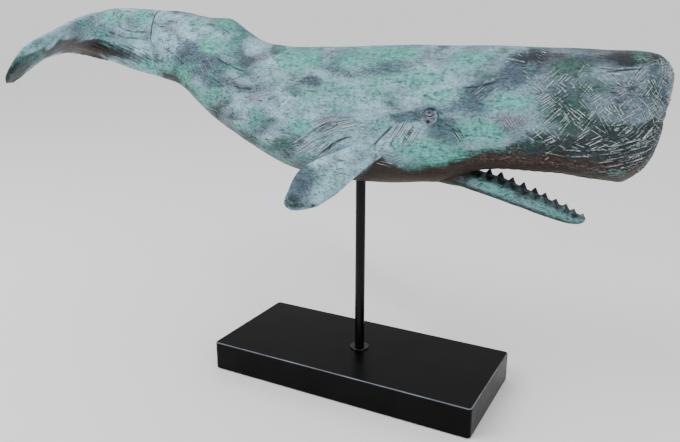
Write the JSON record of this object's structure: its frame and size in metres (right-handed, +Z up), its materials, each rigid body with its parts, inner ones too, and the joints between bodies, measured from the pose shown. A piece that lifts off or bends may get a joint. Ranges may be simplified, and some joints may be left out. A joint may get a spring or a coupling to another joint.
{
  "type": "animal figurine",
  "caption": "Sperm whale figurine with an open toothed jaw, raised tail and flippers, turning on a slim rod over a rectangular base block.",
  "frame": {"origin": "middle of the base's underside, on the rod's axis", "axes": "+X towards the whale's snout, +Y towards its left side, +Z up along the rod"},
  "size_m": [0.5436, 0.18, 0.3042],
  "materials": {
    "lacquered_board": "satin black lacquer on board",
    "felt": "black wool felt",
    "lacquered_rod": "gloss black lacquer",
    "polished_collar": "polished",
    "zinc_steel": "zinc plated",
    "painted_resin": "cast resin painted as verdigris, rubbed back over carved strokes"
  },
  "bodies": {
    "stand": {"base_block": "lacquered_board", "base_felt": "felt", "support_rod": "lacquered_rod", "rod_collar": "polished_collar", "rod_washer": "zinc_steel", "rod_nut": "zinc_steel"},
    "whale": {"whale_body": "painted_resin", "tail_casting": "painted_resin", "lower_jaw": "painted_resin", "right_fin": "painted_resin", "left_fin": "painted_resin", "rod_socket": "zinc_steel", "socket_plug": "zinc_steel", "tail_dowel": "zinc_steel", "jaw_pin": "zinc_steel"}
  },
  "joints": [
    {"name": "whale_swivel", "type": "hinge", "parent": "stand", "child": "whale", "pos_m": [0, 0, 0.17], "axis": [0, 0, 1], "continuous": true}
  ]
}
